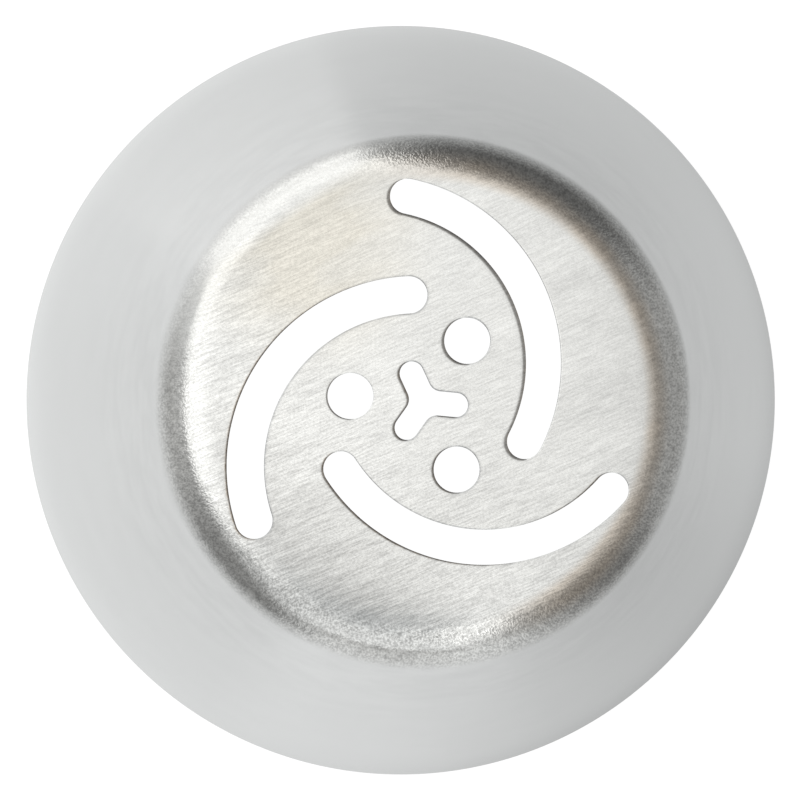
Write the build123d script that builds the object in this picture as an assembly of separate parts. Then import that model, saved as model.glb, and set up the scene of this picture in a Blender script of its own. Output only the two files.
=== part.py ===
from build123d import *
from math import cos, radians, sqrt
import os

# Piping nozzle for flower icing: one cup drawn from stainless sheet, with a swirl cut through its face.
# Millimetres. The nozzle stands on its wide rim: the axis is +Z, the origin is the centre of the rim.
# Bearings are degrees about the axis, counted from +X towards +Y.

# The drawn cup
height = 38.0
rim_diameter = 35.0
face_diameter = 20.6
shoulder_radius = 1.8

# The sheet, which drawing leaves thinnest just under the shoulder
face_thickness = 0.5
wall_thickness = 0.45
rim_thickness = 0.5

# Broken edges, left by trimming the rim and by tumbling the cut face
rim_break = 0.1
cut_edge_break = 0.07

# Three-lobed opening on the axis
lobe_count = 3
lobe_width = 1.1
lobe_reach = 1.43
lobe_bearing = -5.3
lobe_notch_radius = 0.6

# Round holes between the lobes
hole_count = 3
hole_diameter = 2.1
hole_pitch_diameter = 6.78
hole_bearing = 55.3

# Swirling slots. Each bends about its own centre, and its centreline comes nearest to the axis close to
# its inner end and runs out to the edge of the flat face. Both angles are measured at the bend's centre,
# from the line to the axis.
slot_count = 3
slot_width = 1.6
slot_near_radius = 4.81
slot_edge_margin = 0.04
slot_start_angle = 9.6
slot_end_angle = 115.2
slot_bend_bearing = 23.1

# How far a cutting tool runs past the sheet on each side
overrun = 1.0


def profile_line(top_radius, top_height, bend_radius, foot):
    """The top, the shoulder's arc and the tapered wall of one skin of the cup, from the axis to the foot."""
    bend = CenterArc((top_radius, top_height - bend_radius), bend_radius, 0, 90)
    tangents = ConstrainedLines(bend, foot).edges()
    wall = tangents.sort_by(Axis.X)[-1]
    top = Line((0, top_height), (top_radius, top_height))
    shoulder = RadiusArc(top @ 1, wall @ 0, bend_radius)
    return [top, shoulder, wall]


def drawn_cup():
    """The blank cup: tapered wall, rounded shoulder and flat face in one skin, open at the rim."""
    rim_radius = rim_diameter / 2
    face_radius = face_diameter / 2
    outer_foot = (rim_radius, 0)
    inner_foot = (rim_radius - rim_thickness, 0)
    inner_top = height - face_thickness
    outer_skin = profile_line(face_radius, height, shoulder_radius, outer_foot)
    inner_skin = profile_line(face_radius, inner_top, shoulder_radius - wall_thickness, inner_foot)
    rim = Line(outer_foot, inner_foot)
    axis_line = Line((0, inner_top), (0, height))
    section = make_face(outer_skin + [rim] + inner_skin + [axis_line])
    cup = revolve(Plane.XZ * section, axis=Axis.Z)
    rim_edges = cup.edges().group_by(Axis.Z)[0]
    return chamfer(rim_edges, length=rim_break)


def around_axis(shape, count, bearing):
    """Copies of one opening, evenly spaced about the axis from the bearing."""
    return [place * shape for place in PolarLocations(0, count, start_angle=bearing)]


def lobed_opening():
    """Round-ended lobes that meet on the axis, with the notches between them rounded."""
    lobe = Pos(lobe_reach / 2, 0) * SlotCenterToCenter(lobe_reach, lobe_width)
    star = Sketch() + around_axis(lobe, lobe_count, lobe_bearing)
    notches = star.vertices().sort_by_distance((0, 0))[:lobe_count]
    return fillet(notches, radius=lobe_notch_radius)


def round_holes():
    """The ring of round holes."""
    hole = Pos(hole_pitch_diameter / 2, 0) * Circle(hole_diameter / 2)
    return around_axis(hole, hole_count, hole_bearing)


def slot_bend_radius():
    """The bend that takes a slot's centreline from its nearest point to the edge of the flat face."""
    end_inset = slot_edge_margin + cut_edge_break + slot_width / 2
    far_radius = face_diameter / 2 - end_inset
    turn_factor = 2 * (1 - cos(radians(slot_end_angle)))
    spread = (far_radius**2 - slot_near_radius**2) / turn_factor
    half_near = slot_near_radius / 2
    return half_near + sqrt(half_near**2 + spread)


def swirl_slots():
    """The ring of swirling slots, each of one width with round ends."""
    bend_radius = slot_bend_radius()
    bend_offset = bend_radius - slot_near_radius
    sweep = slot_end_angle - slot_start_angle
    centreline = CenterArc((bend_offset, 0), bend_radius, 180 + slot_start_angle, sweep)
    slot = SlotArc(centreline, slot_width)
    return around_axis(slot, slot_count, slot_bend_bearing)


def cut_face(cup):
    """The cup with every opening cut through its face, and the outer edges of the openings broken."""
    openings = [lobed_opening()] + round_holes() + swirl_slots()
    tool_depth = face_thickness + 2 * overrun
    tool_base = Pos(0, 0, height - face_thickness - overrun)
    tools = [extrude(tool_base * opening, amount=tool_depth) for opening in openings]
    pierced = cup - tools
    flat_face = pierced.faces().sort_by(Axis.Z)[-1]
    cut_edges = [edge for wire in flat_face.inner_wires() for edge in wire.edges()]
    return chamfer(cut_edges, length=cut_edge_break)


nozzle_shell = cut_face(drawn_cup())
nozzle_shell.label = "nozzle_shell"

os.makedirs("parts", exist_ok=True)
export_step(nozzle_shell, "parts/nozzle_shell.step")
print("nozzle_shell", round(nozzle_shell.volume, 3), "cubic mm")
print("slot bend radius", round(slot_bend_radius(), 3), "mm")
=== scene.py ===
# %% [markdown]
# A piping nozzle for flower icing, drawn from one piece of stainless sheet.
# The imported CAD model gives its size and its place. This script dresses it: a fine mesh of the same cup
# with rolled cut edges, procedural steel, and a small white studio. It starts from the frame, because
# everything after it is measured from the frame's box.

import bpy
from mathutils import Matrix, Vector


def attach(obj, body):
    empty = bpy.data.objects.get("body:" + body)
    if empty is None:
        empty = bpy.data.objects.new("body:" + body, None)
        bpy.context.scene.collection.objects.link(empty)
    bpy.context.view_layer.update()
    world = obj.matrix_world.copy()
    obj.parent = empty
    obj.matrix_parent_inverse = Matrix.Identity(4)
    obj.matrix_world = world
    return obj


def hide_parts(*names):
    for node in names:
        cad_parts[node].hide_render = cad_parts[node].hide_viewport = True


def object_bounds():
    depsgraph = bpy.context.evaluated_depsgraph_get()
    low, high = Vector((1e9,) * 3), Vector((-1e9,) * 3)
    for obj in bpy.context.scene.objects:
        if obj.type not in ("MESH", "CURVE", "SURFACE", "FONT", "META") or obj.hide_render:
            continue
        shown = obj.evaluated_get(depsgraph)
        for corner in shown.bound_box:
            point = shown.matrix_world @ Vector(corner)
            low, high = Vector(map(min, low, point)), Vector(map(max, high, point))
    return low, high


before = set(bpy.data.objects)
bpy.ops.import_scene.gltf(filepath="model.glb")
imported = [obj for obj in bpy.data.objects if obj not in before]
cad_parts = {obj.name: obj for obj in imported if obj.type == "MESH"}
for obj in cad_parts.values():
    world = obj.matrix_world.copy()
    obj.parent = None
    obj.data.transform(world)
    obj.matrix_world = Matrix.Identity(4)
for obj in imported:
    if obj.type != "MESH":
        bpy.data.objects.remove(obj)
cad_low, cad_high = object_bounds()
print("CAD box", [round(value, 5) for value in (*cad_low, *cad_high)])

# %% [markdown]
# Blender works in metres, and a nozzle is easier to read in millimetres, so each size is a number times mm.
# The height and the rim's radius come from the frame. The thickness of the sheet and the taper are the same
# as in the CAD model, but the shoulder is softer: a drawn bend doesn't start at once but eases in, and the
# punch pulls the edge of the face down by a sixth of a millimetre. Neither would matter in plastic, but metal
# mirrors the room, and a few degrees of tilt send the eye to a quite different part of it.

# %% Sizes of the drawn cup
import math

import bmesh
import bpy
import numpy as np
from mathutils import Matrix, Vector, kdtree
from mathutils.geometry import delaunay_2d_cdt

mm = 0.001
height = cad_high.z
rim_outer_radius = cad_high.x
face_sheet = 0.5 * mm
wall_sheet = 0.45 * mm
rim_sheet = 0.5 * mm
rim_round = 0.1 * mm
taper = math.radians(8.5)
bend_radius = 2.23 * mm
ease_in = 1.79 * mm
ease_out = 1.7 * mm
crown_tilt = math.radians(6.1)
crown_power = 4.47

rim_corner = rim_round * (1 + math.sin(taper)) / math.cos(taper)
foot_radius = rim_outer_radius - rim_round + rim_corner
print("wall meets the rest plane at", round(foot_radius / mm, 3), "mm from the axis")

# %% [markdown]
# A profile in radius and height could be drawn as a Bezier curve and spun with the Screw modifier. Here it
# is worked out instead: the curvature rises from nothing to that of the bend, holds, and falls to nothing
# again, and adding it up gives first the tilt of the surface and then its place. The tilts are kept, because
# they also give exact normals, and exact normals are what makes a reflection in metal look calm.

# %% Profile of the outer skin
def eased_bend(radius, start_tilt, end_tilt, steps=240):
    """Radius gained, height lost and tilt along a bend whose curvature eases in and out."""
    length = radius * (end_tilt - start_tilt) + (ease_in + ease_out) / 2
    along = np.linspace(0, length, steps)
    share = np.minimum(1, np.minimum(along / ease_in, (length - along) / ease_out))
    middle = (share[1:] + share[:-1]) / 2
    step = along[1] - along[0]
    tilt = start_tilt + np.concatenate([[0], np.cumsum(middle) * step / radius])
    middle_tilt = (tilt[1:] + tilt[:-1]) / 2
    gained = np.concatenate([[0], np.cumsum(np.cos(middle_tilt)) * step])
    lost = np.concatenate([[0], np.cumsum(np.sin(middle_tilt)) * step])
    return gained, lost, tilt


gained, lost, bend_tilt = eased_bend(bend_radius, crown_tilt, math.pi / 2 - taper)
crown_slope = crown_tilt / (crown_power + 1)
room_left = foot_radius - gained[-1] - (height - lost[-1]) * math.tan(taper)
bend_start = room_left / (1 - crown_slope * math.tan(taper))

face_r = np.linspace(0, bend_start, 80)
crown = (face_r / bend_start) ** crown_power
face_z = height - crown_slope * crown * face_r
outer_r = np.concatenate([face_r, bend_start + gained[1:]])
outer_z = np.concatenate([face_z, face_z[-1] - lost[1:]])
outer_tilt = np.concatenate([crown_tilt * crown, bend_tilt[1:]])
print("shoulder from", round(bend_start / mm, 2), "to", round(outer_r[-1] / mm, 2), "mm")
print("the crown takes", round((height - face_z[-1]) / mm, 3), "mm off the face's edge")

# %% [markdown]
# The inner skin is the outer one moved inwards by the thickness of the sheet, square to the surface.
# Drawing thins the sheet over the shoulder, so the thickness runs from the face's to the wall's with the
# tilt. A Solidify modifier would do much the same, but it can't thin the sheet or keep the rim flat.

# %% Profile of the inner skin
sheet = np.interp(outer_tilt, [0, outer_tilt[-1]], [face_sheet, wall_sheet])
inner_r = outer_r - np.sin(outer_tilt) * sheet
inner_z = outer_z - np.cos(outer_tilt) * sheet


def skin_at(radius, side):
    """Height and tilt of a skin at a distance from the axis. The side is 1 for the outer skin, else -1."""
    radii, heights = (outer_r, outer_z) if side > 0 else (inner_r, inner_z)
    return float(np.interp(radius, radii, heights)), float(np.interp(radius, radii, outer_tilt))


print("sheet thins from", face_sheet / mm, "to", wall_sheet / mm, "mm over the shoulder")

# %% [markdown]
# The spun part of the mesh starts on the shoulder, just outside the openings, runs down the wall, round the
# rim and up the inside, and stops under the shoulder. Each row is a radius, a height and a normal.
# The rim's two corners are rounded: a sharp edge would catch no light at all, and real sheet never has one.

# %% Rows of the spun part
outer_border = 10.9 * mm
inner_border = 10.62 * mm
shoulder_rows = 44
wall_rows = 14
rim_rows = 6


def row(radius, up, angle):
    """A row of the profile. The angle is that of its normal, from straight out towards straight up."""
    return radius, up, math.cos(angle), math.sin(angle)


def corner_rows(centre, start, end):
    """Rows round one corner of the rim."""
    angles = np.linspace(start, end, rim_rows)
    return [row(centre + rim_round * math.cos(a), rim_round * (1 + math.sin(a)), a) for a in angles]


def shoulder(first_tilt, last_tilt, side):
    """Rows over the shoulder of one skin, at even steps of tilt."""
    tilts = np.linspace(first_tilt, last_tilt, shoulder_rows)
    radii = np.interp(tilts, outer_tilt[1:], (outer_r if side > 0 else inner_r)[1:])
    return [row(float(r), skin_at(r, side)[0], side * math.pi / 2 - tilt) for r, tilt in zip(radii, tilts)]


wall_tilt = float(outer_tilt[-1])
rows = shoulder(skin_at(outer_border, 1)[1], wall_tilt, 1)
outer_end = rows[-1]
outer_corner = corner_rows(rim_outer_radius - rim_round, taper, -math.pi / 2)
inner_foot = foot_radius - rim_sheet
inner_centre = inner_foot + rim_round * (1 - math.sin(taper)) / math.cos(taper)
inner_corner = corner_rows(inner_centre, -math.pi / 2, -math.pi + taper)
inner_end = row(float(inner_r[-1]), float(inner_z[-1]), -math.pi + taper)


def straight_rows(first, last):
    """Rows strictly between two rows, on the straight wall."""
    shares = np.linspace(0, 1, wall_rows)[1:-1]
    return [tuple(a + (b - a) * share for a, b in zip(first, last)) for share in shares]


rows += straight_rows(outer_end, outer_corner[0]) + outer_corner
rim_row = len(rows)
rows += inner_corner + straight_rows(inner_corner[-1], inner_end)
rows += shoulder(wall_tilt, skin_at(inner_border, -1)[1], -1)
print(len(rows), "rows, the rim at row", rim_row)

# %% [markdown]
# The openings are one trefoil, three round holes and three curved slots. A Boolean modifier could cut them,
# but it leaves long thin faces that spoil the shading of a curved edge. Each outline is made of arcs here,
# and each point of it also knows the way into the opening. Moved the other way, the same points
# give a ring of even width round the opening, which is what a rolled edge and its tint need. The slot at the
# left came out a tenth of a millimetre wider, on its outer side.

# %% Outlines of the openings
lobe_half_width = 0.55 * mm
lobe_reach = 1.43 * mm
lobe_bearing = math.radians(-5.3)
notch_radius = 0.6 * mm
hole_radius = 1.05 * mm
hole_pitch_radius = 3.39 * mm
hole_bearing = math.radians(55.3)
slot_half_width = 0.8 * mm
slot_bend_radius = 7.752 * mm
slot_bend_offset = 2.942 * mm
slot_bearing = math.radians(23.1)
slot_start = math.radians(189.6)
slot_end = math.radians(295.2)
slot_extras = [0, 0, 0.1 * mm]
copies = 3
point_step = 0.11 * mm
least_points = 8
third = 2 * math.pi / copies


def at(bearing, distance, origin=(0, 0)):
    """The point at a bearing and a distance from an origin."""
    return np.array([origin[0] + distance * math.cos(bearing), origin[1] + distance * math.sin(bearing)])


def arc(centre, radius, start, end):
    """Points along an arc. It turns left round the opening's side and right round the metal's side."""
    count = max(least_points, round(abs(end - start) * radius / point_step))
    inward = -1 if end > start else 1
    return [(at(a, radius, centre), at(a, inward)) for a in np.linspace(start, end, count)]


def joined(arcs):
    """One closed outline: the arcs in order, with straight runs where one arc doesn't meet the next."""
    places, inwards = [], []
    for one, following in zip(arcs, arcs[1:] + arcs[:1]):
        for place, inward in one[:-1]:
            places.append(place)
            inwards.append(inward)
        run = following[0][0] - one[-1][0]
        count = round(float(np.hypot(*run)) / point_step)
        for share in np.arange(count) / max(count, 1):
            places.append(one[-1][0] + run * share)
            inwards.append(one[-1][1])
    return np.array(places), np.array(inwards)


def trefoil():
    """Three round-ended lobes that meet on the axis, with round notches between them."""
    notch_distance = (lobe_half_width + notch_radius) / math.sin(third / 2)
    quarter = math.pi / 2
    arcs = []
    for index in range(copies):
        lobe = lobe_bearing + index * third
        arcs.append(arc(at(lobe, lobe_reach), lobe_half_width, lobe - quarter, lobe + quarter))
        notch = at(lobe + third / 2, notch_distance)
        arcs.append(arc(notch, notch_radius, lobe + 3 * quarter, lobe + quarter + third))
    return joined(arcs)


def round_hole(index):
    """One round hole of the ring."""
    centre = at(hole_bearing + index * third, hole_pitch_radius)
    return joined([arc(centre, hole_radius, 0, 2 * math.pi)])


def curved_slot(index):
    """One curved slot with round ends."""
    turn = slot_bearing + index * third
    centre = at(turn, slot_bend_offset)
    start, end = turn + slot_start, turn + slot_end
    half = slot_half_width + slot_extras[index] / 2
    middle = slot_bend_radius + slot_extras[index] / 2
    far_side = arc(centre, middle + half, start, end)
    outer_end_cap = arc(at(end, middle, centre), half, end, end + math.pi)
    near_side = arc(centre, middle - half, end, start)
    inner_end_cap = arc(at(start, middle, centre), half, start + math.pi, start + 2 * math.pi)
    return joined([far_side, outer_end_cap, near_side, inner_end_cap])


openings = [trefoil()]
openings += [round_hole(index) for index in range(copies)]
openings += [curved_slot(index) for index in range(copies)]
print(len(openings), "openings,", sum(len(places) for places, _ in openings), "outline points")

# %% [markdown]
# The mesh is gathered as plain lists: a place, a normal, a warmth and a soot for each vertex, and the corners
# and the finish of each face. Warmth is how far the cutting heat has tinted the steel there. The tint is
# strongest on the left edges of the openings, whose roll mirrors the dark side of the room, and that
# one-sided part of it is painted shade. The slot at the left is tinted most. Soot is the thin grey line that
# the beam leaves all the way round. A vertex attribute carries both, because no texture could follow the
# outlines so closely.

# %% Gathering the mesh
outer_finish, inner_finish = 0, 1
tint_reach = 0.07 * mm
soot_reach = 0.06 * mm
# Edges whose way into the opening runs along this bearing look at the dark side: painted shade is strongest
# there.
dark_side_bearing = math.radians(12)
least_tint = 0.08
# The trefoil, the three round holes and the three slots
heats_and_shades = [0.6, 0.5, 0.3, 0.6, 0.8, 0.42, 0.9]
soots = [0.6, 0.35, 0.15, 0.5, 0.2, 0.1, 0.55]
roll_sizes = [1.0, 1.15, 0.6, 0.9, 0.88, 1.25, 0.85]

vertices, normals, burns_and_shades = [], [], []
faces, finishes = [], []


def add_vertex(place, normal, tint_and_shade=0.0, soot=0.0):
    """Keeps a vertex and gives its number."""
    vertices.append(tuple(float(value) for value in place))
    normals.append(tuple(float(value) for value in normal))
    burns_and_shades.append((float(tint_and_shade), float(soot), 0.0))
    return len(vertices) - 1


def add_face(corners, finish):
    """Keeps a face, its corners turned so that it looks the way that its vertices' normals do."""
    first, second, third_corner = (Vector(vertices[number]) for number in corners[:3])
    square = (second - first).cross(third_corner - second)
    wanted = sum((Vector(normals[number]) for number in corners), Vector())
    faces.append(corners if square.dot(wanted) > 0 else corners[::-1])
    finishes.append(finish)


def add_strip(ring, following, finish):
    """Faces between two closed rings of the same number of vertices."""
    for index in range(len(ring)):
        after = (index + 1) % len(ring)
        add_face((ring[index], ring[after], following[after], following[index]), finish)


def surface_normal(place, tilt, side):
    """The normal of a skin at a place. The side is 1 for the outer skin and -1 for the inner one."""
    distance = max(float(np.hypot(*place)), 1e-9)
    lean = math.sin(tilt) / distance
    return side * place[0] * lean, side * place[1] * lean, side * math.cos(tilt)


# %% [markdown]
# The rows are spun round the axis, one vertex of each row at each step of the turn. The Screw modifier would
# give the same shape, but not the rows' own normals, and the face is sewn to the first and the last ring, so
# the numbers of their vertices are needed.

# %% Spinning the profile
spin_steps = 384
rings = []
for radius, up, out_share, up_share in rows:
    ring = []
    for step in range(spin_steps):
        x, y = at(2 * math.pi * step / spin_steps, 1)
        normal = (out_share * x, out_share * y, up_share)
        ring.append(add_vertex((radius * x, radius * y, up), normal))
    rings.append(ring)
for number in range(len(rings) - 1):
    finish = outer_finish if number < rim_row else inner_finish
    add_strip(rings[number], rings[number + 1], finish)
print(len(faces), "faces in the spun part")

# %% [markdown]
# Each opening gets a stack of rings: a flat collar, the rolled outer edge, the cut wall, and a smaller roll
# on the underside. The roll falls away slowly at first and then faster, as sheet does where a cut pulls it
# down, and it draws the fine lines round the openings: on one side of an opening it mirrors the dark half
# of the room, on the other side the bright half. The belt that deburred the face pressed harder on the edges
# where it ran off the steel, so the roll is wider there. The last ring turns the normal level, for a crisp
# corner. Flat rings between the collar and the roll give the tint places to die away over.

# %% Rings round the openings
edge_roll = (0.26 * mm, 0.075 * mm)
under_roll = (0.04 * mm, 0.02 * mm)
roll_steps = 8
roll_power = 2.6
run_off_bearing = math.radians(25)
least_roll = 0.3
corner_depth = 0.004 * mm
# Where the flat rings lie, as shares of the way from the roll to the collar
flat_shares = [0.5, 0.25, 0.1]
top_collar = [0.5 * mm, 0.42 * mm, 0.37 * mm]
under_collar = [0.25 * mm, 0.12 * mm]


def facing(inwards, bearing):
    """How squarely each point of an outline looks along a bearing, from 0 to 1."""
    return np.clip(inwards @ at(bearing, 1), 0, 1)


def ring_at(outline, burn, widths, drops, angle, side):
    """One ring round an opening: its distances from the cut, its depths in the skin and its normals' tilt."""
    places, inwards = outline
    heat_and_shade, soot = burn
    places = places - inwards * widths[:, None]
    # Painted shade: the tint grows on the edges whose roll looks towards the dark side of the room.
    dark_side_share = least_tint + (1 - least_tint) * facing(inwards, dark_side_bearing)
    tints_and_shades = heat_and_shade * dark_side_share * np.exp(-widths / tint_reach)
    soots_here = soot * np.exp(-((widths / soot_reach) ** 2))
    ring = []
    for place, inward, drop, tint_and_shade, sootiness in zip(places, inwards, drops, tints_and_shades, soots_here):
        up, tilt = skin_at(float(np.hypot(*place)), side)
        level = np.array(surface_normal(place, tilt, side))
        into = np.array([*inward, 0.0])
        normal = level * math.cos(angle) + into * math.sin(angle)
        ring.append(add_vertex((*place, up - side * drop), normal, tint_and_shade, sootiness))
    return ring


def rolled_rings(outline, burn, collar, roll, side):
    """The collar and the roll on one side of the sheet, from the collar's outside to the cut wall."""
    size = least_roll + (1 - least_roll) * facing(outline[1], run_off_bearing)
    across, down = roll[0] * size, roll[1] * size
    widths = [np.full(len(size), width) for width in collar]
    widths += [across + (collar[-1] - across) * share for share in flat_shares]
    rings = [ring_at(outline, burn, width, 0 * size, 0, side) for width in widths]
    for share in np.linspace(0, 1, roll_steps):
        slope = roll_power * roll[1] / roll[0] * share ** (roll_power - 1)
        widths, drops = across * (1 - share), down * share**roll_power
        rings.append(ring_at(outline, burn, widths, drops, math.atan(slope), side))
    rings.append(ring_at(outline, burn, 0 * size, down + corner_depth, math.pi / 2, side))
    return rings


top_loops, under_loops = [], []
for outline, heat_and_shade, soot, roll_size in zip(openings, heats_and_shades, soots, roll_sizes):
    wide_roll = tuple(length * roll_size for length in edge_roll)
    top = rolled_rings(outline, (heat_and_shade, soot), top_collar, wide_roll, 1)
    under = rolled_rings(outline, (heat_and_shade, soot), under_collar, under_roll, -1)
    for stack, finish in ((top, outer_finish), (under, inner_finish)):
        for one, following in zip(stack, stack[1:]):
            add_strip(one, following, finish)
    add_strip(top[-1], under[-1], outer_finish)
    top_loops.append(top[0])
    under_loops.append(under[0])
print(len(faces), "faces with the edges")

# %% [markdown]
# What is left of the face lies between the collars and the shoulder. It is filled with triangles by a
# constrained Delaunay triangulation, which keeps every ring and makes no thin slivers. The inner points are
# a plain grid. Filling one big polygon would work too, but then the face would have no points inside.

# %% Filling the face
grid_step = 0.4 * mm
clearance = 0.2 * mm
weld = 1e-8


def inside(loop, place):
    """Whether a place lies inside a closed loop of vertices, by counting the edges crossed to its right."""
    crossings = 0
    for number, following in zip(loop, loop[1:] + loop[:1]):
        ax, ay = vertices[number][:2]
        bx, by = vertices[following][:2]
        if (ay > place[1]) != (by > place[1]):
            crossings += place[0] < ax + (place[1] - ay) * (bx - ax) / (by - ay)
    return crossings % 2 == 1


def grid_places(border, loops):
    """Grid points inside the border, clear of it and of the openings' loops."""
    fence = kdtree.KDTree(len(border) + sum(len(loop) for loop in loops))
    for number in [*border, *(number for loop in loops for number in loop)]:
        fence.insert((*vertices[number][:2], 0), number)
    fence.balance()
    reach = Vector(vertices[border[0]][:2]).length
    half = math.ceil(reach / grid_step)
    cells = range(-half, half + 1)
    places = [(x * grid_step, y * grid_step) for x in cells for y in cells]
    places = [place for place in places if math.hypot(*place) < reach - clearance]
    places = [place for place in places if fence.find((*place, 0))[2] > clearance]
    return [place for place in places if not any(inside(loop, place) for loop in loops)]


def fill(border, loops, side, finish):
    """Triangles between the border ring and the openings' loops."""
    numbers, edges = [], []
    for loop in [border, *loops]:
        start = len(numbers)
        numbers += loop
        edges += [(start + index, start + (index + 1) % len(loop)) for index in range(len(loop))]
    for place in grid_places(border, loops):
        up, tilt = skin_at(math.hypot(*place), side)
        numbers.append(add_vertex((*place, up), surface_normal(place, tilt, side)))
    flat = [Vector(vertices[number][:2]) for number in numbers]
    made = delaunay_2d_cdt(flat, edges, [], 1, weld)
    assert len(made[0]) == len(flat), "the triangulation merged or added points"
    order = [numbers[origins[0]] for origins in made[3]]
    kept = 0
    for triangle in made[2]:
        corners = tuple(order[corner] for corner in triangle)
        middle = sum((Vector(vertices[number]) for number in corners), Vector()) / 3
        if not any(inside(loop, middle) for loop in loops):
            add_face(corners, finish)
            kept += 1
    return kept


print(fill(rings[0], top_loops, 1, outer_finish), "triangles on the face")
print(fill(rings[-1], under_loops, -1, inner_finish), "triangles on its underside")

# %% [markdown]
# Now the lists become one mesh.

# %% The nozzle's mesh
def put_in_scene(name, data):
    """A new object in the scene."""
    made = bpy.data.objects.new(name, data)
    bpy.context.scene.collection.objects.link(made)
    return made


mesh = bpy.data.meshes.new("nozzle_skin")
mesh.from_pydata(vertices, [], faces)
mesh.polygons.foreach_set("material_index", finishes)
mesh.shade_smooth()
mesh.normals_split_custom_set_from_vertices([Vector(normal).normalized() for normal in normals])
burn_and_shade_values = [value for burn in burns_and_shades for value in burn]
mesh.attributes.new("burn", "FLOAT_VECTOR", "POINT").data.foreach_set("vector", burn_and_shade_values)
nozzle = put_in_scene("nozzle_skin", mesh)

probe = bmesh.new()
probe.from_mesh(mesh)
open_edges = sum(not edge.is_manifold for edge in probe.edges)
volume = probe.calc_volume() / mm**3
probe.free()
print(len(mesh.polygons), "faces,", open_edges, "open edges,", round(volume, 1), "cubic mm of steel")

# %% [markdown]
# The mesh stands for the CAD node and rides on the only body. Nothing on a piping nozzle moves.

# %% Tying the mesh to the frame
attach(nozzle, "root")
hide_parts("nozzle_shell")
print(nozzle.name, "stands for nozzle_shell")

# %% [markdown]
# Shader trees are built with small helpers. One adds a node and sets its values, some do a single sum, and
# one makes an empty node group with named sockets. Groups hold the effects that several finishes share.

# %% Helpers for shader trees
def add_node(tree, kind, inputs=None, **settings):
    """Adds a node. Settings are its own options. Each input is a plain value or the socket that feeds it."""
    node = tree.nodes.new(kind)
    for name, value in settings.items():
        setattr(node, name, value)
    for key, value in (inputs or {}).items():
        if isinstance(value, bpy.types.NodeSocket):
            tree.links.new(value, node.inputs[key])
        else:
            node.inputs[key].default_value = value
    return node


def calculate(tree, operation, first, second):
    """One sum on numbers, as a Math node. Gives its result."""
    return add_node(tree, "ShaderNodeMath", {0: first, 1: second}, operation=operation).outputs[0]


def product(tree, *factors):
    """Numbers or masks multiplied together."""
    result = factors[0]
    for factor in factors[1:]:
        result = calculate(tree, "MULTIPLY", result, factor)
    return result


def without(tree, mask, other):
    """A mask, kept only where another mask is dark."""
    return product(tree, mask, calculate(tree, "SUBTRACT", 1.0, other))


def vector_math(tree, operation, first, second=(0.0, 0.0, 0.0)):
    """One sum on vectors, as a Vector Math node. Gives a number where the sum does, and else a vector."""
    node = add_node(tree, "ShaderNodeVectorMath", {0: first, 1: second}, operation=operation)
    gives_number = operation in ("LENGTH", "DISTANCE", "DOT_PRODUCT")
    return node.outputs["Value" if gives_number else "Vector"]


def combined(tree, **parts):
    """A vector from its parts X, Y and Z."""
    return add_node(tree, "ShaderNodeCombineXYZ", parts).outputs[0]


def scaled(tree, vector, factor):
    """A vector or a colour times a number."""
    return add_node(tree, "ShaderNodeVectorMath", {0: vector, "Scale": factor}, operation="SCALE").outputs[0]


def leaning(tree, place, bearing):
    """How far a place lies from the axis along a bearing."""
    return vector_math(tree, "DOT_PRODUCT", place, (math.cos(bearing), math.sin(bearing), 0.0))


def ramp(tree, value, start, end, low=0.0, high=1.0):
    """A soft step from low to high while the value goes from start to end."""
    inputs = {"Value": value, "From Min": start, "From Max": end, "To Min": low, "To Max": high}
    return add_node(tree, "ShaderNodeMapRange", inputs, interpolation_type="SMOOTHSTEP").outputs[0]


def noise(tree, place, scale, detail, roughness, **settings):
    """Soft noise, from 0 to 1."""
    inputs = {"Vector": place, "Scale": scale, "Detail": detail, "Roughness": roughness}
    return add_node(tree, "ShaderNodeTexNoise", inputs, **settings).outputs["Fac"]


def blend_colours(tree, share, one, other, mode="MIX"):
    """The first colour moved towards the other by a share. Gives the colour."""
    inputs = {0: share, 6: one, 7: other}
    return add_node(tree, "ShaderNodeMix", inputs, data_type="RGBA", blend_type=mode).outputs[2]


def new_group(name, inputs, outputs):
    """An empty shader node group. A socket is a number, unless its name ends in a colon and a kind."""
    tree = bpy.data.node_groups.new(name, "ShaderNodeTree")
    for side, sockets in (("INPUT", inputs), ("OUTPUT", outputs)):
        for socket in sockets.split():
            label, _, kind = socket.partition(":")
            tree.interface.new_socket(label, in_out=side, socket_type="NodeSocket" + (kind or "Float"))
    return tree, tree.nodes.new("NodeGroupInput").outputs, tree.nodes.new("NodeGroupOutput").inputs


def use_group(tree, name, inputs):
    """Places a group in a tree and gives its outputs."""
    return add_node(tree, "ShaderNodeGroup", inputs, node_tree=bpy.data.node_groups[name]).outputs


print("shader helpers ready")

# %% [markdown]
# Brush lines come from the coil: the sheet was rubbed with an abrasive belt before it was drawn, so they run
# straight across the face and ignore the openings. A scratch is long and thin, and noise squeezed across
# the belt's direction and stretched along it looks the same. Three sizes are mixed: hairlines, broader
# strokes where the belt pressed harder, and a slow drift from the rolling mill. The hairlines are sharpened,
# because a scratch is either there or not.

# %% Group: brush lines
# Name, shares of a hairline's pattern across and along the lines, detail, and the ends of the soft step
line_sizes = [
    ("Hairlines", 1.0, 1.0, 2.0, 0.3, 0.7),
    ("Strokes", 0.3, 0.4, 2.0, 0.25, 0.75),
    ("Drift", 0.035, 0.16, 1.0, 0.25, 0.75),
]
line_noise = 0.65

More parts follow.
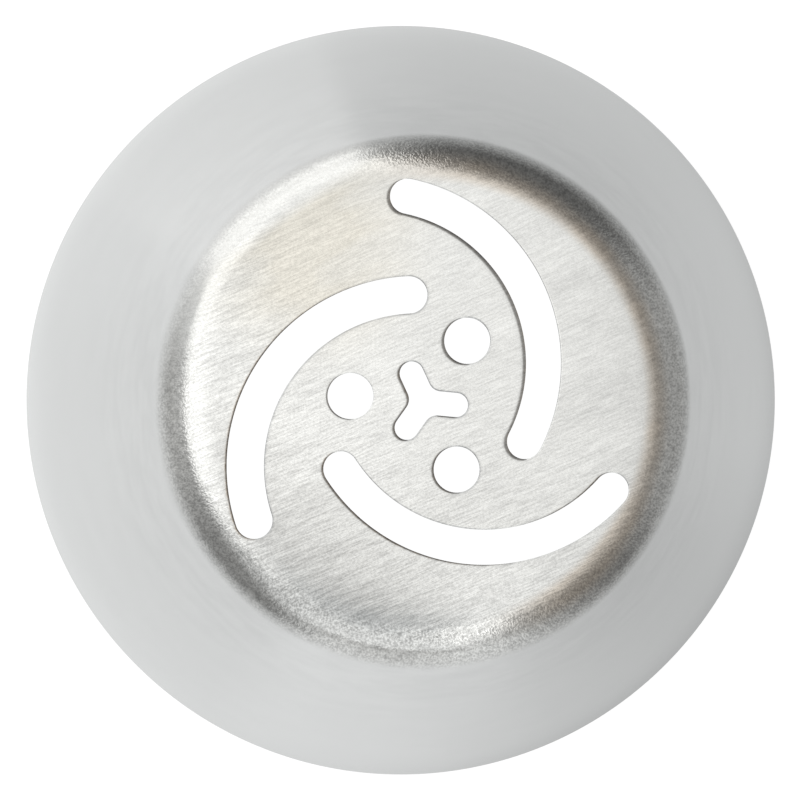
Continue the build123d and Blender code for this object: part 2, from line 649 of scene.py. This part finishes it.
tree, given, result = new_group(
    "brush_lines", "Place:Vector Angle Length Width", "Hairlines Strokes Drift"
)
turned = add_node(
    tree, "ShaderNodeVectorRotate", {"Vector": given["Place"], "Angle": given["Angle"]},
    rotation_type="Z_AXIS", invert=True,
).outputs[0]
squeezed = vector_math(tree, "DIVIDE", turned, combined(tree, X=given["Length"], Y=given["Width"], Z=1.0))
for name, across_share, along_share, detail, low, high in line_sizes:
    sized = vector_math(tree, "MULTIPLY", squeezed, (along_share, across_share, 1.0))
    lines = noise(tree, sized, 1.0, detail, line_noise, noise_dimensions="2D")
    tree.links.new(ramp(tree, lines, low, high), result[name])
print("group", tree.name)

# %% [markdown]
# Where the sheet is stretched over the shoulder its crystals turn and stand out, and the smooth skin breaks
# into a fine grain that press workers call orange peel. It has no direction, so it is plain noise, sharpened
# like the scratches and drawn out a little where the steel was pulled down. Larger and fainter flecks lie
# under it.

# %% Group: drawn grain
pulled_share = 0.35
fleck_share = 0.3
grain_noise = 0.6
grain_edges = (0.28, 0.72)

tree, given, result = new_group("drawn_grain", "Place:Vector Size", "Grain Flecks")
scale = calculate(tree, "DIVIDE", 1.0, given["Size"])
fleck_scale = product(tree, scale, fleck_share)
flattened = vector_math(tree, "MULTIPLY", given["Place"], (1.0, 1.0, pulled_share))
grain = noise(tree, flattened, scale, 1.0, grain_noise)
flecks = noise(tree, flattened, fleck_scale, 2.0, grain_noise)
tree.links.new(ramp(tree, grain, *grain_edges), result["Grain"])
tree.links.new(ramp(tree, flecks, *grain_edges), result["Flecks"])
print("group", tree.name)

# %% [markdown]
# The wall slid past the die while it was drawn, which leaves very faint streaks from the shoulder to the rim
# and fainter rings round it. Dividing the place by its distance from the axis gives a direction that
# stays the same down the wall, so noise on that direction runs in streaks.

# %% Group: draw streaks
ring_share_up = 0.5
ring_share_round = 7.0
ring_scale = 0.8
streak_noise = 0.6

tree, given, result = new_group("draw_streaks", "Place:Vector Count Length", "Streaks Rings")
level_place = vector_math(tree, "MULTIPLY", given["Place"], (1.0, 1.0, 0.0))
outwards = vector_math(tree, "NORMALIZE", level_place)
up = add_node(tree, "ShaderNodeSeparateXYZ", {0: given["Place"]}).outputs["Z"]

slow_up = combined(tree, Z=calculate(tree, "DIVIDE", up, given["Length"]))
streak_place = vector_math(tree, "ADD", scaled(tree, outwards, given["Count"]), slow_up)
streaks = noise(tree, streak_place, 1.0, 3.0, streak_noise)
tree.links.new(streaks, result["Streaks"])

fast_up = combined(tree, Z=product(tree, up, ring_share_up))
ring_place = vector_math(tree, "ADD", fast_up, scaled(tree, outwards, ring_share_round))
draw_rings = noise(tree, ring_place, ring_scale, 2.0, streak_noise)
tree.links.new(ramp(tree, draw_rings, 0.25, 0.75), result["Rings"])
print("group", tree.name)

# %% [markdown]
# Cutting heat leaves a thin film of oxide along the edge. It is straw-coloured where it is thin and brown
# where it is thick. The tint stored in the mesh says how thick; on the openings' left edges part of it is
# painted shade. A little noise breaks the line up, because the beam pulses. Soot greys what is under it. The
# group gives the tinted colour and a mask for the roughness.

# %% Group: heat tint and edge shade
straw = (0.74, 0.64, 0.54, 1.0)
brown = (0.22, 0.17, 0.13, 1.0)
grey = (0.30, 0.31, 0.33, 1.0)
pulse_noise = (3.0, 4.0, 0.7)
pulse_strengths = (0.45, 1.25)
thin_film = (0.02, 0.45)
thick_film = (0.3, 0.95)

tree, given, result = new_group(
    "heat_tint_and_edge_shade", "Color:Color Place:Vector Burn:Vector Strength", "Color:Color Film"
)
tint_and_shade, soot = add_node(tree, "ShaderNodeSeparateXYZ", {0: given["Burn"]}).outputs[:2]
uneven = ramp(tree, noise(tree, given["Place"], *pulse_noise), 0.3, 0.7, *pulse_strengths)
film = product(tree, tint_and_shade, uneven, given["Strength"])
thin = ramp(tree, film, *thin_film)
strawed = blend_colours(tree, thin, given["Color"], straw, "MULTIPLY")
browned = blend_colours(tree, ramp(tree, film, *thick_film), strawed, brown)
sooted = blend_colours(tree, product(tree, soot, given["Strength"]), browned, grey, "MULTIPLY")
tree.links.new(sooted, result["Color"])
tree.links.new(thin, result["Film"])
print("group", tree.name)

# %% [markdown]
# Both finishes need the same facts about a point: where it is in millimetres, how far it is from the axis,
# and whether it is on the face, the shoulder or the wall. Object coordinates are used, so the finish stays on
# the steel when the object moves, and no texture map has to be unwrapped. At the upper left the belt rubbed
# on over the shoulder, so the brush lines reach further there and the grain is worn down. At the low side the
# grain starts earlier and is calmer. Peel is the grain's relief, and Warm is where the right of the shoulder
# is tinted brown.

# %% Group: zones of the cup
# Each pair is where a soft step starts and ends, in mm from the axis
face_end = 10.3
shoulder_middle = 11.4
flat_fades = (9.5, 11.2)
grain_rises = (10.2, 11.3)
grain_fades = (11.75, 12.35)
worn_fades = (11.4, 11.8)
worn_shares = (0.9, 0.55)
calm_fades = (11.1, 11.7)
calm_shares = (0.5, 0.15)
rubbed_calm = 0.85
warm_rises = (9.9, 10.5)
warm_fades = (10.5, 11.3)
wall_rises = (11.6, 12.7)
collar_rises = (11.9, 12.3)
collar_fades = (12.9, 15.1)
collar_shares = (1.0, 0.25)

# Each pair here is where a soft step round the cup starts and ends, as the cosine of the angle to a bearing
rubbed_bearing = math.radians(136)
rubbed_sides = (0.72, 0.93)
rubbed_reach = 0.8
low_bearing = math.radians(252)
low_sides = (0.5, 0.95)
low_reach = 0.4
warm_bearing = math.radians(15)
warm_sides = (-0.05, 0.45)
warm_widening = (0.4, 1.0)
warm_reach = 0.4

tree, given, result = new_group(
    "zones", "Object:Vector", "Place:Vector Flat Face Shoulder Peel Warm Wall Collar"
)
place = scaled(tree, given["Object"], 1 / mm)
level_place = vector_math(tree, "MULTIPLY", place, (1.0, 1.0, 0.0))
distance = vector_math(tree, "LENGTH", level_place)
outwards = vector_math(tree, "NORMALIZE", level_place)
rubbed = ramp(tree, leaning(tree, outwards, rubbed_bearing), *rubbed_sides)
low_share = ramp(tree, leaning(tree, outwards, low_bearing), *low_sides)
warm_side = leaning(tree, outwards, warm_bearing)

brushed_end = calculate(tree, "ADD", shoulder_middle, product(tree, rubbed, rubbed_reach))
early = calculate(tree, "ADD", distance, product(tree, low_share, low_reach))
grained = product(tree, ramp(tree, early, *grain_rises), ramp(tree, distance, *grain_fades, 1.0, 0.0))
worn = product(tree, rubbed, ramp(tree, distance, *worn_fades, *worn_shares))
calm = product(tree, low_share, ramp(tree, distance, *calm_fades, *calm_shares))
smoothed = calculate(tree, "MAXIMUM", calm, product(tree, rubbed, rubbed_calm))
widened = ramp(tree, warm_side, *warm_widening, warm_reach, 0.0)
warm_place = calculate(tree, "SUBTRACT", distance, widened)
warm_band = product(tree, ramp(tree, distance, *warm_rises), ramp(tree, warm_place, *warm_fades, 1.0, 0.0))
collar_end = ramp(tree, distance, *collar_fades, *collar_shares)

zone_masks = {
    "Place": place,
    "Flat": ramp(tree, distance, *flat_fades, 1.0, 0.0),
    "Face": ramp(tree, distance, face_end, brushed_end, 1.0, 0.0),
    "Shoulder": without(tree, grained, worn),
    "Peel": without(tree, grained, smoothed),
    "Warm": product(tree, warm_band, ramp(tree, warm_side, *warm_sides)),
    "Wall": ramp(tree, distance, *wall_rises),
    "Collar": product(tree, ramp(tree, distance, *collar_rises), collar_end),
}
for name, mask in zone_masks.items():
    tree.links.new(mask, result[name])
print("group", tree.name, "with", ", ".join(zone_masks))

# %% [markdown]
# One function builds the steel from the groups, and the outside and the inside give it their own values. The
# patterns change the base colour a little as well as the bump: bump alone gives glints that come and go
# with the light, while a real scratch also holds a trace of dark polish. Slower changes lie over them: the
# belt pressed harder at the lower left, so the scratches show more there, and a painted shade darkens the
# face there. A painted sheen makes the face lighter towards the upper left and darker towards the lower
# right, and two faint brown tints lie at the upper left and at the right.

# %% The steel
# The scratches, the grain and the streaks. Their sizes are in mm.
brush_angle = math.radians(23)
brush_size = {"Length": 1.0, "Width": 0.07}
grain_size = 0.10
streak_count = 110.0
streak_length = 9.0
relief_depth = 0.005 * mm
scratch_relief = 0.3
streak_relief = 0.1
stroke_roughness = 0.12
tint_roughness = 0.12

# Painted sheen and shade over the face, and the belt's pressure. Distances are in mm along each bearing.
painted_sheen_bearing = math.radians(147)
painted_sheen_reach = 8.0
painted_sheen_share = 0.071
press_and_shade_bearing = math.radians(236)
painted_shade_start = 3.9
painted_shade_full = 9.7
painted_shade_share = 0.195
pressed_reach = 9.0
pressed_shares = (0.8, 1.5)

# The two brown tints
film_centre = (-5.3, 7.5, 38.0)
film_core = 1.0
film_reach = 7.0
film_bearing = math.radians(125)
film_start = 10.0
film_full = 10.9
film_colour = (0.897, 0.864, 0.80, 1.0)
film_shares = (0.75, 1.25)
warm_colour = (1.0, 0.915, 0.83, 1.0)
warm_shares = (0.8, 1.2)


def varied(tree, base, parts):
    """A colour made lighter and darker by patterns. Each part is a pattern, a mask and an amount."""
    tone = 1.0
    for pattern, mask, amount in parts:
        offset = product(tree, calculate(tree, "SUBTRACT", pattern, 0.5), amount)
        tone = calculate(tree, "ADD", tone, product(tree, offset, mask))
    return scaled(tree, base, tone)


def steel(name, colour, tint_strength, face_roughness, wall_roughness, contrast):
    """A stainless finish: brushed on the face, grained on the shoulder, satin on the wall."""
    material = bpy.data.materials.new(name)
    material.use_nodes = True
    tree = material.node_tree
    shader = tree.nodes["Principled BSDF"]
    coordinates = add_node(tree, "ShaderNodeTexCoord").outputs["Object"]
    zones = use_group(tree, "zones", {"Object": coordinates})
    place = zones["Place"]
    lines = use_group(tree, "brush_lines", {"Place": place, "Angle": brush_angle, **brush_size})
    grain = use_group(tree, "drawn_grain", {"Place": place, "Size": grain_size})
    streaks = use_group(
        tree, "draw_streaks", {"Place": place, "Count": streak_count, "Length": streak_length}
    )
    burn = add_node(tree, "ShaderNodeAttribute", attribute_name="burn").outputs["Vector"]

    press_and_shade_side = leaning(tree, place, press_and_shade_bearing)
    pressed = ramp(tree, press_and_shade_side, -pressed_reach, pressed_reach, *pressed_shares)
    brushed = product(tree, zones["Face"], pressed)
    toned = varied(tree, colour, [
        (lines["Hairlines"], brushed, 0.17 * contrast),
        (lines["Strokes"], brushed, 0.12 * contrast),
        (lines["Drift"], zones["Face"], 0.08 * contrast),
        (grain["Grain"], brushed, 0.15 * contrast),
        (grain["Grain"], zones["Shoulder"], 0.44 * contrast),
        (grain["Flecks"], zones["Shoulder"], 0.22 * contrast),
        (streaks["Streaks"], zones["Wall"], 0.03 * contrast),
        (streaks["Rings"], zones["Collar"], 0.09 * contrast),
    ])

    # Painted light and shade on the face: a sheen lighter towards the upper left, and a shade at the lower
    # left.
    painted_sheen_side = leaning(tree, place, painted_sheen_bearing)
    painted_sheen = ramp(tree, painted_sheen_side, -painted_sheen_reach, painted_sheen_reach, -painted_sheen_share, painted_sheen_share)
    painted_shade = ramp(tree, press_and_shade_side, painted_shade_start, painted_shade_full, 0.0, -painted_shade_share)
    painted_light_and_shade = product(tree, calculate(tree, "ADD", painted_sheen, painted_shade), zones["Flat"])
    toned = scaled(tree, toned, calculate(tree, "ADD", painted_light_and_shade, 1.0))

    away = vector_math(tree, "DISTANCE", place, film_centre)
    film_edge = ramp(tree, leaning(tree, place, film_bearing), film_start, film_full, 1.0, 0.0)
    film = product(tree, ramp(tree, away, film_core, film_reach, 1.0, 0.0), film_edge)
    film = product(tree, film, ramp(tree, lines["Drift"], 0.0, 1.0, *film_shares))
    toned = blend_colours(tree, film, toned, film_colour, "MULTIPLY")
    warm = product(tree, zones["Warm"], ramp(tree, lines["Drift"], 0.0, 1.0, *warm_shares))
    toned = blend_colours(tree, warm, toned, warm_colour, "MULTIPLY")
    tinted = use_group(
        tree, "heat_tint_and_edge_shade", {"Color": toned, "Place": place, "Burn": burn, "Strength": tint_strength}
    )
    tree.links.new(tinted["Color"], shader.inputs["Base Color"])

    satin = ramp(tree, zones["Wall"], 0.0, 1.0, face_roughness, wall_roughness)
    rubbed = product(tree, calculate(tree, "SUBTRACT", lines["Strokes"], 0.5), stroke_roughness)
    rough = calculate(tree, "ADD", satin, product(tree, rubbed, zones["Face"]))
    rough = calculate(tree, "ADD", rough, product(tree, tinted["Film"], tint_roughness))
    tree.links.new(rough, shader.inputs["Roughness"])
    shader.inputs["Metallic"].default_value = 1.0

    scratches = product(tree, lines["Hairlines"], product(tree, zones["Face"], scratch_relief))
    relief = calculate(tree, "ADD", scratches, product(tree, grain["Grain"], zones["Peel"]))
    drawn = product(tree, streaks["Streaks"], product(tree, zones["Wall"], streak_relief))
    relief = calculate(tree, "ADD", relief, drawn)
    bump = add_node(tree, "ShaderNodeBump", {"Height": relief, "Distance": relief_depth, "Strength": 1.0})
    tree.links.new(bump.outputs["Normal"], shader.inputs["Normal"])
    return material


outer_steel = steel(
    "outer_steel", (0.735, 0.735, 0.712), tint_strength=1.0,
    face_roughness=0.18, wall_roughness=0.22, contrast=1.0,
)
inner_steel = steel(
    "inner_steel", (0.62, 0.62, 0.60), tint_strength=0.6,
    face_roughness=0.30, wall_roughness=0.34, contrast=1.2,
)
mesh.materials.append(outer_steel)
mesh.materials.append(inner_steel)
print(len(outer_steel.node_tree.nodes), "nodes in", outer_steel.name)

# %% [markdown]
# Polished metal has hardly a colour of its own: what it shows is the room. So the room is built with care, as
# a photographer would, from a white scrim overhead, soft lights at the left and dark cards at the right and
# behind. A card is a soft-edged oval patch of the sky in a given direction. Real lamps and boards could be
# placed instead, but they would stand in the way of a camera at the side.

# %% Group: card
# A card shows only in its own half of the sky
ahead_edges = (-0.1, 0.1)

tree, given, result = new_group(
    "card", "Direction:Vector Centre:Vector Across:Vector Upward:Vector Softness", "Cover"
)
sides = ("Across", "Upward", "Centre")
across, upward, ahead = (vector_math(tree, "DOT_PRODUCT", given["Direction"], given[side]) for side in sides)
offset = combined(tree, X=across, Y=upward)
outside = calculate(tree, "ADD", 1.0, given["Softness"])
within = calculate(tree, "SUBTRACT", 1.0, given["Softness"])
patch = ramp(tree, vector_math(tree, "LENGTH", offset), within, outside, 1.0, 0.0)
tree.links.new(product(tree, patch, ramp(tree, ahead, *ahead_edges)), result["Cover"])
print("group", tree.name)

# %% [markdown]
# The room group gives the colour seen in any direction. The world uses it for the sky, and the floor uses it
# for its far parts, so that both fade into the same room. A card that comes later in the list covers the
# ones before it, and the scrim covers them all.

# %% Group: room
def tone(level, warm=0.0):
    """A grey of the room, made a little warmer or cooler."""
    return level * (1 + warm), level, level * (1 - warm), 1.0


def direction_of(bearing, elevation):
    """The direction at a bearing and an elevation, both in degrees."""
    bearing, elevation = math.radians(bearing), math.radians(elevation)
    level_x, level_y = math.cos(bearing) * math.cos(elevation), math.sin(bearing) * math.cos(elevation)
    return Vector((level_x, level_y, math.sin(elevation)))


walls = tone(0.89, -0.01)
# Bearing, elevation, half the width and half the height in degrees, the edge's softness and the tone
cards = [
    (21.5, 16, 81, 73, 0.1, tone(0.13)),
    (2, 8.5, 32, 63, 0.39, tone(0.38)),
    (32.5, 59, 72, 21, 0.90, tone(0.295, 0.03)),
    (208.5, -32.5, 39.5, 88.7, 0.17, tone(0.27)),
    (182.5, -10.5, 21, 59.5, 0.61, tone(0.52)),
    (124.5, 31.5, 27, 65.5, 0.10, tone(1.31)),
    (140, 75.5, 33, 48.5, 0.30, tone(1.05)),
    (283, 57.5, 5, 37, 0.30, tone(1.51)),
    (260.5, 62.5, 10, 15.5, 0.13, tone(0.73, -0.02)),
    (188, 54.5, 14.5, 18, 0.42, tone(1.44)),
    (263.5, 5, 23, 5, 0.25, tone(0.51)),
]
scrim = tone(1.073, 0.005)
scrim_lean = (-0.070, -0.093)
scrim_start = math.radians(79.8)
scrim_full = math.radians(83.9)

tree, given, result = new_group("room", "Direction:Vector", "Color:Color")
seen = walls
for bearing, elevation, half_width, half_height, softness, colour in cards:
    centre = direction_of(bearing, elevation)
    across = direction_of(bearing + 90, 0) / math.sin(math.radians(half_width))
    upward = centre.cross(across).normalized() / math.sin(math.radians(half_height))
    cover = use_group(tree, "card", {
        "Direction": given["Direction"], "Centre": centre, "Across": across, "Upward": upward,
        "Softness": softness,
    })["Cover"]
    seen = blend_colours(tree, cover, seen, colour)
scrim_centre = Vector((*scrim_lean, 1)).normalized()
height_seen = vector_math(tree, "DOT_PRODUCT", given["Direction"], scrim_centre)
overhead = ramp(tree, height_seen, math.sin(scrim_start), math.sin(scrim_full))
tree.links.new(blend_colours(tree, overhead, seen, scrim), result["Color"])
print("group", tree.name, "with", len(cards), "cards")

# %% [markdown]
# To the camera the sky is plain white, like the paper behind a product photograph. Light Path tells the
# camera's own rays from those that light the object, so the white adds no light to it.

# %% The world
white = (1.0, 1.0, 1.0, 1.0)
world = bpy.data.worlds.new("studio")
world.use_nodes = True
bpy.context.scene.world = world
tree = world.node_tree
background = tree.nodes["Background"]
direction = add_node(tree, "ShaderNodeTexCoord").outputs["Generated"]
room_colour = use_group(tree, "room", {"Direction": direction})["Color"]
seen_by_camera = add_node(tree, "ShaderNodeLightPath").outputs["Is Camera Ray"]
tree.links.new(blend_colours(tree, seen_by_camera, room_colour, white), background.inputs["Color"])
background.inputs["Strength"].default_value = 1.0
print("world", world.name)

# %% [markdown]
# One large soft lamp at the upper left gives the shadow its direction and the shoulder its highlight. It is
# far larger than the nozzle, so the shadow stays soft.

# %% The lamp
lamp_distance = 0.8
lamp_bearing = 152
lamp_elevation = 38
lamp_side = direction_of(lamp_bearing, lamp_elevation)
lamp_data = bpy.data.lights.new("soft_lamp", "AREA")
lamp_data.shape = "DISK"
lamp_data.size = 0.45
lamp_data.energy = 0.15
lamp = put_in_scene("soft_lamp", lamp_data)
lamp.location = lamp_side * lamp_distance
lamp.rotation_mode = "QUATERNION"
lamp.rotation_quaternion = lamp_side.to_track_quat("Z", "Y")
lamp.visible_camera = False
print("lamp at", [round(value, 2) for value in lamp.location], "m")

# %% [markdown]
# The nozzle stands on white paper. The camera sees the paper as white, with only a breath of shadow at the
# rim. The steel sees the paper too: the wall is steep, so it mirrors only the few centimetres next to it.
# There the paper's painted glow is brighter towards the lamp, most of all beside the rim, and further out it
# falls away into the room. Towards the lower right it is painted darker, as in the shade of a board that
# stands nowhere in the scene, and a painted dim ring towards the upper right darkens the shoulder's foot.
# From below, the paper lets the camera through, so that the inside of the cup can be seen.

# %% The floor
# Distances are in metres from the axis. Levels and shares go from 0 to 1.
floor_size = 12.0
paper_near = 0.0131
paper_far = 0.174
far_share = 0.95
paper_tint = (0.985, 1.0, 1.015)
paper_glow = 0.86
paper_shade = 0.30
bright_bearing = math.radians(200)
dim_level = 0.676
bright_level = 0.868
rim_bearing = math.radians(145)
rim_contrast = 0.17
rim_reach = 0.0187
board_shade_bearing = math.radians(310)
board_shade_sides = (0.7, 1.0)
board_shade_level = 0.083
ring_bearing = math.radians(58)
ring_sides = (-0.4, 1.0)
ring_share = 0.17
ring_from = (0.023, 0.036)
ring_until = (0.050, 0.110)

floor_mesh = bpy.data.meshes.new("floor")
half = floor_size / 2
corners = [(-half, -half, 0), (half, -half, 0), (half, half, 0), (-half, half, 0)]
floor_mesh.from_pydata(corners, [], [(0, 1, 2, 3)])
floor = put_in_scene("floor", floor_mesh)
print("floor", floor_size, "m across")

# %% [markdown]
# The steep wall squeezes what it mirrors together the further away it lies, so distances go in as octaves.

# %% Paper as the steel sees it
def octave_ramp(tree, octaves, span, low=0.0, high=1.0):
    """A soft step between two distances from the axis, even in octaves."""
    start, end = span
    return ramp(tree, octaves, math.log2(start), math.log2(end), low, high)


def shader_of(tree, kind, inputs):
    """The shader that a node of a kind gives."""
    return add_node(tree, "ShaderNode" + kind, inputs).outputs[0]


paper = bpy.data.materials.new("paper")
paper.use_nodes = True
tree = paper.node_tree
tree.nodes.remove(tree.nodes["Principled BSDF"])
spot = add_node(tree, "ShaderNodeNewGeometry")
path = add_node(tree, "ShaderNodeLightPath")
distance = vector_math(tree, "LENGTH", spot.outputs["Position"])
outwards = vector_math(tree, "NORMALIZE", spot.outputs["Position"])
octaves = calculate(tree, "LOGARITHM", distance, 2.0)

near_level = ramp(tree, leaning(tree, outwards, bright_bearing), -1.0, 1.0, dim_level, bright_level)
rim_share = ramp(tree, leaning(tree, outwards, rim_bearing), -1.0, 1.0, -0.5, 0.5)
beside_rim = ramp(tree, distance, rim_outer_radius, rim_reach, rim_contrast, 0.0)
near_level = calculate(tree, "ADD", near_level, product(tree, beside_rim, rim_share))
# Painted shade at the lower right, as from a board; no board stands in the scene.
painted_board_shade = ramp(tree, leaning(tree, outwards, board_shade_bearing), *board_shade_sides, 0.0, board_shade_level)
near_level = calculate(tree, "SUBTRACT", near_level, painted_board_shade)
room_colour = use_group(tree, "room", {"Direction": outwards})["Color"]
fading = octave_ramp(tree, octaves, (paper_near, paper_far))
near_colour = scaled(tree, paper_tint, near_level)
mirrored = blend_colours(tree, fading, near_colour, scaled(tree, room_colour, far_share))

# Painted shade: a dim ring in what the steel mirrors.
ring_band = product(
    tree, octave_ramp(tree, octaves, ring_from), octave_ramp(tree, octaves, ring_until, 1.0, 0.0)
)
ring_side = ramp(tree, leaning(tree, outwards, ring_bearing), *ring_sides, 0.0, ring_share)
strength = calculate(tree, "SUBTRACT", 1.0, product(tree, ring_band, ring_side))
strength = product(tree, strength, path.outputs["Is Glossy Ray"])
mirror_light = shader_of(tree, "Emission", {"Color": mirrored, "Strength": strength})
print("mirrored paper fades from", paper_near, "to", paper_far, "m")

# %% [markdown]
# To the camera the paper glows a little and takes the nozzle's shadow on a matte base. Under the cup, where
# the cup's shade falls, it glows plain white instead: painted light, so that the openings show white. Rays
# that mirror the paper skip the matte base.

# %% Paper as the camera sees it
# Painted light: the paper under the cup glows full white, where the cup's shade would fall.
in_cup = calculate(tree, "LESS_THAN", distance, rim_outer_radius)
glow = ramp(tree, in_cup, 0.0, 1.0, paper_glow, 1.0)
camera_glow = product(tree, glow, path.outputs["Is Camera Ray"])
camera_light = shader_of(tree, "Emission", {"Color": white, "Strength": camera_glow})
matte = shader_of(tree, "BsdfDiffuse", {"Color": (paper_shade, paper_shade, paper_shade, 1.0)})
unlit = shader_of(tree, "Emission", {"Color": (0.0, 0.0, 0.0, 1.0), "Strength": 0.0})
shaded = shader_of(tree, "MixShader", {0: path.outputs["Is Glossy Ray"], 1: matte, 2: unlit})
lit = shader_of(tree, "AddShader", {0: camera_light, 1: mirror_light})
front_side = shader_of(tree, "AddShader", {0: lit, 1: shaded})
see_through = shader_of(tree, "BsdfTransparent", {})
both_sides = shader_of(tree, "MixShader", {0: spot.outputs["Backfacing"], 1: front_side, 2: see_through})
tree.links.new(both_sides, tree.nodes["Material Output"].inputs["Surface"])
floor_mesh.materials.append(paper)
print(len(tree.nodes), "nodes in", paper.name)

# %% [markdown]
# The photograph was taken from straight above, with a long lens, a little to the left of the axis: the face,
# which is nearer to the camera than the rim is, shows a little to the right of the rim's centre. The
# distance comes from how much larger the face looks than it would at the rim's height.

# %% The camera
sensor_width = 36.0
view_width = 37.37 * mm
camera_place = Vector((-40.4, 3.2, 1395.0)) * mm
aim = Vector((-0.033, 0.009, 0.0)) * mm

camera_data = bpy.data.cameras.new("camera")
camera_data.sensor_width = sensor_width
camera_data.lens = sensor_width * (camera_place - aim).length / view_width
camera_data.clip_start = 0.1
camera_data.clip_end = 20.0
camera = put_in_scene("camera", camera_data)
bpy.context.scene.camera = camera

backwards = (camera_place - aim).normalized()
rightwards = Vector((0, 1, 0)).cross(backwards).normalized()
upwards = backwards.cross(rightwards)
turn = Matrix((rightwards, upwards, backwards)).transposed().to_4x4()
camera.matrix_world = Matrix.Translation(camera_place) @ turn
print("lens", round(camera_data.lens), "mm")

# %% [markdown]
# The Standard view keeps colours as they are written.

# %% Finish
bpy.context.scene.view_settings.view_transform = "Standard"
